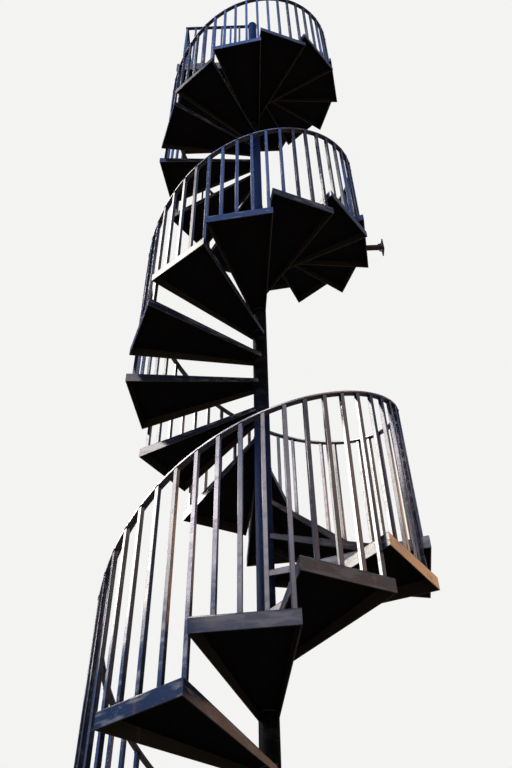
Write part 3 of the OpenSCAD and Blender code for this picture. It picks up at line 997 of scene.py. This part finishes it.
class STAIR_OT_handrail(bpy.types.Operator):
    """Build the flat helical handrail in its lengths, with a dressed weld at each joint"""

    bl_idname = "stair.handrail"
    bl_label = "Handrail"

    rings_a_tread: bpy.props.IntProperty(
        name="Rings a Tread", description="Rings of the handrail along one tread",
        default=24, min=4, max=60)
    # Painted highlight: wear that turns the handrail's outer face to bright bare steel, for its lit
    # edge
    hand_wear_and_glint: bpy.props.FloatProperty(
        name="Hand Wear", description="Wear of the handrail's outer face, from 0 to 1",
        default=0.6, min=0, max=1)

    def execute(self, context):
        arris = RAIL_ARRIS * context.scene.stair_sizes.arris
        for k, name in enumerate(stair.rail_names):
            low, high = stair.rail_levels[k:k + 2]
            shape = Shape()
            self.add_length(shape, low, high, arris)
            if k > 0:
                self.add_joint(shape, low)
            stand_in(shape.mesh(f"bar_{name}"), ("rail_paint", "weld_paint"), name)
        return {"FINISHED"}

    @staticmethod
    def add_helix(shape, section, levels, wide, high, material=0):
        """Carries a section along the handrail's middle line, scaled in width and height.

        The line is the helix (r cos a, r sin a, level * riser + height), where a is the nose angle.
        """
        side = outward(stair.nose_angle(levels))
        middle = stair.rail_height - stair.rail_thickness / 2
        places = stair.rail_radius * side + (levels * stair.riser + middle)[:, None] * UP
        add_bars(shape, section, places[None], (side * wide[:, None])[None], (UP * high[:, None])[None],
                 material)

    def add_length(self, shape, low, high, radius):
        """Adds one length of the bar, with its ends drawn in by a small chamfer."""
        profile, wear, flat = rounded_rectangle(stair.rail_width, stair.rail_thickness, radius, steps=3)
        # Painted highlight: the outer face's wear makes it bright bare steel, like a lit edge
        wear[profile[:, 0] > stair.rail_width / 2 - MERGE] = self.hand_wear_and_glint
        bevel = RAIL_CHAMFER / (stair.rail_radius * stair.pitch)
        count = max(4, math.ceil((high - low) * self.rings_a_tread))
        levels = np.concatenate([[low], np.linspace(low + bevel, high - bevel, count), [high]])
        shrink = np.ones(len(levels))
        shrink[[0, -1]] = 1 - 2 * RAIL_CHAMFER / stair.rail_thickness
        self.add_helix(shape, (profile, wear, flat), levels, shrink, shrink)

    def add_joint(self, shape, level):
        """Adds the weld round a joint: a low band that stands just proud of the bar."""
        half, proud, sunk = 0.0042, 0.0007, 0.0003
        arris, wear_share = 0.1, 0.4
        share = np.linspace(-1, 1, 7)
        levels = level + half / (stair.rail_inner * stair.pitch) * share
        grown = 2 * proud * np.cos(share * QUARTER) - sunk
        profile, wear, flat = rounded_rectangle(1, 1, arris, steps=3)
        self.add_helix(shape, (profile, wear * wear_share, flat), levels, stair.rail_width + grown,
                       stair.rail_thickness + grown, BAR_WELD)


class STAIR_OT_pole(bpy.types.Operator):
    """Build the centre pole with its cap, and the base plate with its anchors"""

    bl_idname = "stair.pole"
    bl_label = "Pole and Base"

    def execute(self, context):
        low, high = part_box("centre_pole")
        radius = stair.pole_radius
        inner = radius - TUBE_THICKNESS
        profile = [(inner, low.z), (radius, low.z), (radius, high.z), (inner, high.z)]
        self.add_turned("pole_tube", profile, "centre_pole", sharp=40)
        self.add_turned("pole_top_cap", self.cap_profile(), "pole_cap", sharp=50)
        self.add_base(context.scene.stair_sizes)
        return {"FINISHED"}

    @staticmethod
    def add_turned(name, profile, node, sharp):
        """Adds a body of revolution about the pole's axis, with sharp edges from some degrees on."""
        shape = Shape()
        lathe(shape, profile, (0, 0, 0))
        mesh = shape.mesh(name)
        mesh.set_sharp_from_angle(angle=math.radians(sharp))
        stand_in(mesh, ("pole_paint",), node)

    @staticmethod
    def cap_profile():
        """Profile of the cap: a flat disc with a rounded shoulder that rises to a low dome."""
        low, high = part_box("pole_cap")
        radius, height = high.x, high.z - low.z
        edge, rise = 0.001, 0.0002
        shoulder = height / 2
        angle = np.linspace(0, QUARTER, 9)
        arc = np.stack([radius - shoulder + shoulder * np.cos(angle),
                        low.z + height - shoulder + shoulder * np.sin(angle)], axis=1)
        dome = [(radius / 2, high.z - rise), (0, high.z)]
        return np.concatenate([[(0, low.z), (radius - edge, low.z), (radius, low.z + edge)], arc, dome])

    @staticmethod
    def add_base(sizes):
        """Adds the base plate, the weld round the pole's foot, and four studs with nuts."""
        low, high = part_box("base_plate")
        shape = Shape()
        add_block(shape, low, high, radius=0.006, chamfer=0.001)
        points = 72
        normal = outward(np.linspace(0, FULL_TURN, points, endpoint=False))[None]
        loop = stair.pole_radius * normal + high.z * UP
        beads(shape, loop, normal, BASE_WELD * sizes.weld, UP, True, seed=5)
        holes = np.abs(on_plane(corners("base_plate"), 2, high.z)[:, :2])
        margin = 0.005
        holes = holes[holes.max(axis=1) < high.x - margin]
        centre = (holes.min(axis=0) + holes.max(axis=0)) / 2
        signs = np.array([[1, 1], [-1, 1], [-1, -1], [1, -1]])
        add_stud(shape, np.column_stack([signs * centre, np.full(4, high.z)]), BASE_STUD)
        coats = ("pole_paint", "weld_paint", "zinc_coat")
        stand_in(shape.mesh("base_plate_bolted"), coats, "base_plate")


def add_stud(shape, places, size, material=BAR_BOLT, axis="Z", facing=1):
    """Adds threaded studs with a washer and a six-sided nut, standing along an axis from their places.

    The thread is a zigzag profile of crests and roots, turned about the axis.
    """
    diameter, length = size
    r = diameter / 2
    washer, corner, face = WASHER_REACH * diameter, NUT_REACH * diameter, FACE_REACH * diameter
    top = WASHER + NUT_HEIGHT * diameter
    turns = np.arange(int((length - top) / THREAD_PITCH * 2))
    z = top + turns * THREAD_PITCH / 2
    crest = np.where(turns % 2 == 0, r, r - THREAD_DEPTH)
    end = z[-1] + TIP
    bodies = [  # profile, steps round, and whether it is shaded round
        ([(0, SUNK), (r, SUNK), *zip(crest, z), (r - 2 * SUNK, end), (0, end)], 18, True),
        ([(0, 0), (washer, 0), (washer, WASHER), (0, WASHER)], 28, False),
        ([(0, WASHER), (corner, WASHER), (corner, top - TIP), (face, top), (0, top)], 6, False),
    ]
    for profile, segments, smooth in bodies:
        profile = np.array(profile, float) * (1, facing)
        lathe(shape, profile, places, axis, segments, BOLT_WEAR, material, smooth)


class STAIR_OT_landing(bpy.types.Operator):
    """Build the landing: a folded deck on the pole, with raised lugs, welds and anchor bolts"""

    bl_idname = "stair.landing"
    bl_label = "Landing"

    def execute(self, context):
        sizes = context.scene.stair_sizes
        low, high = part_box("top_landing")
        depth = high.z - low.z
        points = corners("top_landing")
        nose = stair.nose_angle(stair.landing_level)
        normal = nose - stair.edge_swing
        corner = stair.stair_radius * outward(nose)
        foot = stair.edge_foot * outward(normal)
        right = (on_plane(on_plane(points, 2, high.z), 1, high.y)[:, 0].max(), high.y)
        outline = (corner, right, (low.x, high.y), (low.x, low.y), (0.0, low.y), foot)
        lines = [line_of(normal, stair.edge_foot)]
        lines += [line_through(a[:2], b[:2]) for a, b in zip(outline, outline[1:])]
        beam = sizes.landing_beam
        section = (beam + DECK_INNER_BEND, beam, sizes.landing_plate, DECK_LIP)
        guard_feet = np.concatenate([foot_corners(name, stair.landing_z) for name in GUARDS])

        def low_edge(plan):
            return np.full(plan.shape[:-1], -depth)

        deck = Shape()
        add_pan(deck, lines, section, low_edge, arc_steps=40, inner=DECK_INNER)
        add_pole_welds(deck, lines, section, depth, DECK_WELD * sizes.weld)
        add_lugs(deck, lines, guard_feet, (low.x, low.y), (right[0], high.y), sizes)
        self.add_bolts(deck, points, high.y - beam, depth)
        mesh = deck.mesh("landing_deck")
        mesh.transform(Matrix.Translation((0, 0, high.z)))
        coats = ("landing_paint", *PAN_COATS, "zinc_coat", "inner_paint")
        stand_in(mesh, coats, "top_landing")
        return {"FINISHED"}

    @staticmethod
    def add_bolts(shape, points, beam_y, depth):
        """Adds the two anchors of the deck's back beam, in the middle of the node's holes."""
        rim = on_plane(points, 1, beam_y)
        below, margin = stair.landing_z - rim[:, 2], 0.02
        x = rim[(below > margin) & (below < depth - margin)][:, 0]
        middle = (x.min() + x.max()) / 2
        places = [(side.mean(), beam_y, -depth / 2) for side in (x[x < middle], x[x > middle])]
        add_stud(shape, places, DECK_STUD, material=DECK_BOLT, axis="Y", facing=-1)


class STAIR_OT_guards(bpy.types.Operator):
    """Build the landing's guards: flat rails on square bars, welded at their feet"""

    bl_idname = "stair.guards"
    bl_label = "Landing Guards"

    def execute(self, context):
        for k, (name, axis) in enumerate(GUARDS.items()):
            shape = Shape()
            self.add_guard(shape, name, axis, context.scene.stair_sizes, seed=90 + k)
            stand_in(shape.mesh(f"bars_{name}"), BAR_COATS, name)
        return {"FINISHED"}

    @staticmethod
    def add_guard(shape, name, axis, sizes, seed):
        """Adds one guard: bars from the deck to half the rail's thickness, and the rail along them."""
        low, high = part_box(name)
        feet = foot_corners(name, stair.landing_z)
        centres, sides, turns = squares(feet, feet[:, axis])
        thickness = stair.rail_thickness
        floors = np.full(len(centres), low.z)
        tops = np.full(len(centres), high.z)
        bars = (shape, centres, sides, turns)
        upright_bars(*bars, floors, tops - thickness / 2, 0.0, sizes.arris)
        bar_welds(*bars, floors, 0.0, sizes.weld, UP, seed)
        rail = on_plane(corners(name), 2, high.z)
        across = 1 - axis
        middle = centres[-axis, across]  # of the front's first bar, or of a side's last one
        ends = np.zeros((2, 3))
        ends[:, axis] = rail[:, axis].min(), rail[:, axis].max()
        ends[:, across] = middle - stair.rail_width / 2, middle + stair.rail_width / 2
        ends[:, 2] = high.z - thickness, high.z
        arris = RAIL_ARRIS * sizes.arris
        add_block(shape, *ends, arris, RAIL_CHAMFER, (across, 2, axis), steps=3)
        bar_welds(*bars, tops - thickness, 0.0, TOP_WELD * sizes.weld, -UP, seed + 30)


class STAIR_OT_bracket(bpy.types.Operator):
    """Build the bracket that ties one tread sideways, with its anchored end plate"""

    bl_idname = "stair.bracket"
    bl_label = "Tie Bracket"

    def execute(self, context):
        sizes = context.scene.stair_sizes
        low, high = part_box("wall_bracket")
        points = corners("wall_bracket")
        shape = Shape()
        plate_x = on_plane(points, 2, low.z)[:, 0].min()
        add_block(shape, (plate_x, low.y, low.z), high, radius=0.002, chamfer=0.001)
        gap, hole_reach = 0.01, 0.012
        bar = points[points[:, 0] < plate_x - gap]
        centre = (bar.min(axis=0) + bar.max(axis=0)) / 2
        width = np.ptp(bar[:, 1])
        starts = [bar[bar[:, 1] < centre[1]][:, 0].min(), bar[bar[:, 1] > centre[1]][:, 0].min()]
        slant = (starts[1] - starts[0]) / width
        places = np.array([[[np.mean(starts), *centre[1:]], [plate_x + SUNK, *centre[1:]]]])
        side = np.array([[[slant * width, width, 0], [0, width, 0]]])
        up = np.tile(width * UP, (1, 2, 1))
        add_bars(shape, rounded_rectangle(1, 1, sizes.arris / width), places, side, up)
        self.add_weld(shape, (plate_x, *centre[1:]), width, TIE_WELD * sizes.weld)
        holes = on_plane(points, 0, plate_x)
        holes = holes[np.abs(holes[:, 1] - centre[1]) < hole_reach]
        places = []
        for edge, way in ((high.z, 1), (low.z, -1)):
            z = holes[(holes[:, 2] - centre[2]) * way > width][:, 2]
            z = z[np.abs(z - edge) > TOUCH]
            places.append((plate_x, centre[1], (z.min() + z.max()) / 2))
        add_stud(shape, places, TIE_STUD, axis="X", facing=-1)
        coats = ("inner_paint", "weld_paint", "zinc_coat")
        stand_in(shape.mesh("tie_bracket"), coats, "wall_bracket")
        return {"FINISHED"}

    @staticmethod
    def add_weld(shape, centre, width, leg):
        """Adds the weld round the bar at the end plate, a loop in the plate's face."""
        y, z, angle = square_outline(6)
        normals = np.stack([0 * angle, np.cos(angle), np.sin(angle)], axis=1)[None]
        loop = np.array(centre) + np.stack([0 * y, y * width, z * width], axis=1)[None]
        beads(shape, loop, normals, leg, np.array([-1, 0, 0]), True, seed=71)


BACKDROP = (0.9, 0.9, 0.89, 1.0)

# Cloths of the tent round the stage: direction, cosines of its rim and of its full part, colour
TENT_CLOTHS = (
    ((-0.1, -0.45, 0.89), 0.90, 0.97, (0.38, 0.72, 1.9)),
    ((0.1, -0.76, 0.64), 0.93, 0.98, (2.1, 1.8, 1.95)),
    ((0.06, -0.76, 0.647), 0.98, 0.995, (4.4, 4.1, 4.4)),
    ((-0.42, -0.83, 0.36), 0.952, 0.968, (0.2, 0.42, 1.1)),
    ((0.72, -0.4, 0.57), 0.90, 0.98, (1.5, 1.05, 0.75)),
    ((0.72, 0.40, 0.56), 0.98, 0.995, (3.6, 1.9, 0.8)),
    ((-0.78, 0.06, 0.62), 0.86, 0.95, (9.5, 8.9, 8.3)),
    ((-0.79, 0.14, 0.59), 0.925, 0.98, (20.0, 18.5, 17.0)),
)


class STAIR_OT_stage(bpy.types.Operator):
    """Set the pale floor, the soft light and the camera at the photograph's angle"""

    bl_idname = "stair.stage"
    bl_label = "Stage"

    camera_place: bpy.props.FloatVectorProperty(
        name="Camera Place", description="Where the camera stands",
        default=(0.0251, -3.216, 1.461), size=3, subtype="TRANSLATION", unit="LENGTH")
    yaw: angle_property("Yaw", "Turn of the view to the right of +Y", -0.949)
    pitch: angle_property("Pitch", "Rise of the view above the horizon", 47.675)
    roll: angle_property("Roll", "Turn of the picture about the view", 1.016)
    lens: bpy.props.FloatProperty(
        name="Lens", description="Focal length in millimetres on a 36 mm long side",
        default=39.33, min=20, max=80)
    key_from: bpy.props.FloatVectorProperty(
        name="Lamp From", description="Way from the stair to the lamp",
        default=(-0.7, -0.3, 0.64), size=3, subtype="DIRECTION")
    key_strength: bpy.props.FloatProperty(
        name="Lamp Strength", description="Light of the lamp on a face turned to it",
        default=2.2, min=0, max=10)
    key_width: angle_property("Lamp Width", "Angle that the lamp's disc fills", 46)

    def execute(self, context):
        scene = context.scene
        scene.view_settings.view_transform = "Standard"
        self.add_floor()
        self.light_world(scene)
        self.add_key()
        self.add_camera(scene)
        return {"FINISHED"}

    @staticmethod
    def add_floor():
        """A pale disc that fades into the backdrop far from the stair. A reflection shows it dark."""
        shape = Shape()
        reach, top, bottom = 120, -0.001, -0.02
        lathe(shape, [(0, bottom), (reach, bottom), (reach, top), (0, top)], (0, 0, 0), smooth=False)
        made = bpy.data.materials.new("pale_floor")
        start, here = opened(made)
        far = start.vector_maths("LENGTH", here, output="Value").between(9.0, 30.0)
        floor = start.node("ShaderNodeBsdfDiffuse", None, {"Color": (0.72, 0.72, 0.71, 1.0)})
        glow = start.node("ShaderNodeEmission", None, {"Color": BACKDROP})
        dark = start.node("ShaderNodeEmission", None, {"Color": (0.1, 0.085, 0.08, 1.0)})
        plain = (far * seen_rays(start)).shows(floor, glow)
        seen = start.ray("Glossy").shows(plain, dark)
        start.node("ShaderNodeOutputMaterial", None, {"Surface": seen})
        piece = placed(shape.mesh("pale_floor"), [made])

    @staticmethod
    def light_world(scene):
        """Plain soft light from all round, and the tent of coloured cloths that the paint mirrors.

        What lights the stair is white. The camera sees the plain backdrop, and a reflection shows
        the tent there instead: its dark sides, a bright belt on the left, round cloths over it, low
        cloths that are blue on the left, and a warm one on the right. A cloth's mask is the cosine
        between its direction and the one looked in, and folds, a stretched noise, darken them all.
        """
        world = bpy.data.worlds.new("studio")
        world.cycles.sampling_method = "NONE"
        scene.world = world
        start, way = opened(world, "Generated")
        height = way.height()
        left = way.towards((-0.9, -0.44, 0.0))
        tent = height.between(0.2, 0.9).mixes((0.16, 0.13, 0.12), (0.15, 0.17, 0.27))
        belt = left.between(0.3, 0.7) * (1 - height.between(0.7, 0.8))
        tent = tent.tint((12.5, 11.4, 12.0), belt)
        for towards, rim, full, cloth in TENT_CLOTHS:
            tent = tent.tint(cloth, way.towards(towards).between(rim, full))
        low = left.between(0.2, 0.6).mixes((0.12, 0.09, 0.08), (0.2, 0.5, 1.4))
        above = (height - start.maths("MAXIMUM", left, 0.35) * 0.12).between(0.41, 0.5)
        tent = low.tint(tent, above)
        warm = way.towards((0.66, 0.64, 0.38)).between(0.96, 0.985)
        tent = tent.tint((0.8, 0.44, 0.2), warm)
        folds = way.stretched_noise((30.0, 30.0, 14.0), 3.0, 0.6).between(0.46, 0.6)
        tent = tent.tint((0.05, 0.1, 0.3), folds * 0.8)
        seen = tent.tint(BACKDROP[:3], start.ray("Camera"))
        white = start.node(
            "ShaderNodeBackground", None, {"Color": (1.0, 1.0, 1.0, 1.0), "Strength": 0.5})
        shown = start.node("ShaderNodeBackground", None, {"Color": seen})
        start.node("ShaderNodeOutputWorld", None, {"Surface": seen_rays(start).shows(white, shown)})

    def add_key(self):
        """One broad warm lamp, high on the left. Reflections show the tent instead of it."""
        lamp = bpy.data.lights.new("key", "SUN")
        lamp.energy = self.key_strength
        lamp.angle = self.key_width
        lamp.color = (1.0, 0.94, 0.86)
        key = bpy.data.objects.new("key", lamp)
        bpy.context.scene.collection.objects.link(key)
        key.rotation_euler = Vector(self.key_from).to_track_quat("Z", "Y").to_euler()
        key.visible_glossy = False

    def add_camera(self, scene):
        """The camera, from its yaw, pitch and roll: three upright directions as a matrix's columns."""
        level = Vector((math.cos(self.yaw), -math.sin(self.yaw), 0))
        ahead = Vector((math.sin(self.yaw) * math.cos(self.pitch),
                        math.cos(self.yaw) * math.cos(self.pitch), math.sin(self.pitch)))
        down = ahead.cross(level)
        right = math.cos(self.roll) * level + math.sin(self.roll) * down
        down = -math.sin(self.roll) * level + math.cos(self.roll) * down
        turn = Matrix((right, -down, -ahead)).transposed().to_4x4()
        data = bpy.data.cameras.new("camera")
        data.sensor_fit = "AUTO"
        data.sensor_width = 36
        data.lens = self.lens
        data.clip_start = 0.05
        data.clip_end = 400
        camera = bpy.data.objects.new("camera", data)
        scene.collection.objects.link(camera)
        camera.matrix_world = Matrix.Translation(self.camera_place) @ turn
        scene.camera = camera


class STAIR_PT_panel(bpy.types.Panel):
    """Lists the stair's sizes, colours and operators"""

    bl_idname = "STAIR_PT_panel"
    bl_label = "Spiral Staircase"
    bl_space_type = "VIEW_3D"
    bl_region_type = "UI"
    bl_category = "Staircase"

    def draw(self, context):
        layout = self.layout
        for group in (context.scene.stair_sizes, context.scene.stair_paint):
            column = layout.column(align=True)
            for name in group.bl_rna.properties.keys():
                if name not in ("rna_type", "name"):
                    column.prop(group, name)
        for operator in BUILDERS:
            layout.operator(operator.bl_idname)


BUILDERS = (
    STAIR_OT_stage,
    STAIR_OT_pole,
    STAIR_OT_treads,
    STAIR_OT_balusters,
    STAIR_OT_handrail,
    STAIR_OT_landing,
    STAIR_OT_guards,
    STAIR_OT_bracket,
)
CLASSES = (StairSizes, StairPaint, *BUILDERS, STAIR_PT_panel)


def register():
    for cls in CLASSES:
        bpy.utils.register_class(cls)
    bpy.types.Scene.stair_sizes = bpy.props.PointerProperty(type=StairSizes)
    bpy.types.Scene.stair_paint = bpy.props.PointerProperty(type=StairPaint)


def unregister():
    del bpy.types.Scene.stair_paint
    del bpy.types.Scene.stair_sizes
    for cls in reversed(CLASSES):
        bpy.utils.unregister_class(cls)


def main():
    register()
    bpy.ops.stair.stage()
    bpy.ops.stair.pole()
    bpy.ops.stair.treads()
    bpy.ops.stair.balusters()
    bpy.ops.stair.handrail()
    bpy.ops.stair.landing()
    bpy.ops.stair.guards()
    bpy.ops.stair.bracket()


if __name__ == "__main__":
    main()
